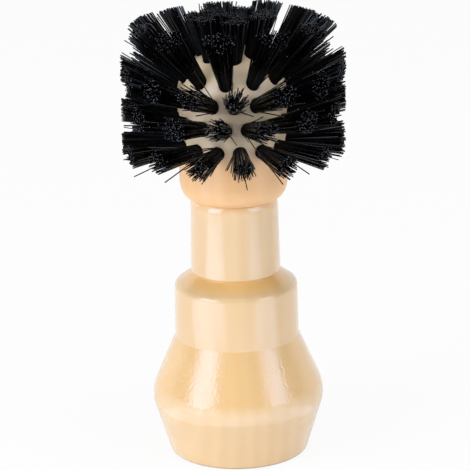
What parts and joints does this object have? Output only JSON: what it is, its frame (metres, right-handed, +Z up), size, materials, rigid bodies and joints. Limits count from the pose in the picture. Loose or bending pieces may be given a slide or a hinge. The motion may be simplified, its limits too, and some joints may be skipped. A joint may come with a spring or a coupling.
{
  "type": "portafilter brush",
  "caption": "Standing brush for cleaning an espresso portafilter basket: turned wooden handle, screw-on head with tufts of straight black nylon trimmed to a squared dome.",
  "frame": {"origin": "middle of the flat resting face under the handle's foot", "axes": "+Z up along the turning axis, towards the bristles; -Y is the side that the picture shows"},
  "size_m": [0.0632, 0.0632, 0.1266],
  "materials": {
    "handle_wood": "turned pale hardwood under clear semi-gloss lacquer",
    "head_wood": "turned pale hardwood under clear satin lacquer",
    "black_nylon": "drawn black nylon filament, square-cut ends",
    "zinc_steel": "zinc-plated rolled thread",
    "brass": "machined brass"
  },
  "bodies": {
    "handle": {"handle": "handle_wood", "hanger_bolt": "zinc_steel"},
    "insert": {"threaded_insert": "brass"},
    "head": {"head_block": "head_wood", "lower_bristles": "black_nylon", "middle_bristles": "black_nylon", "upper_bristles": "black_nylon", "shoulder_bristles": "black_nylon", "top_bristles": "black_nylon", "crown_bristles": "black_nylon"}
  },
  "joints": [
    {"name": "head_lift", "type": "slide", "parent": "handle", "child": "insert", "axis": [0, 0, 1], "range_m": [0, 0.01125]},
    {"name": "head_turn", "type": "hinge", "parent": "insert", "child": "head", "pos_m": [0, 0, 0.0739], "axis": [0, 0, 1], "range_deg": [0, 3240]}
  ],
  "couplings": [
    {"joint": "head_lift", "follows": "head_turn", "m_per_rad": 0.00019894}
  ]
}
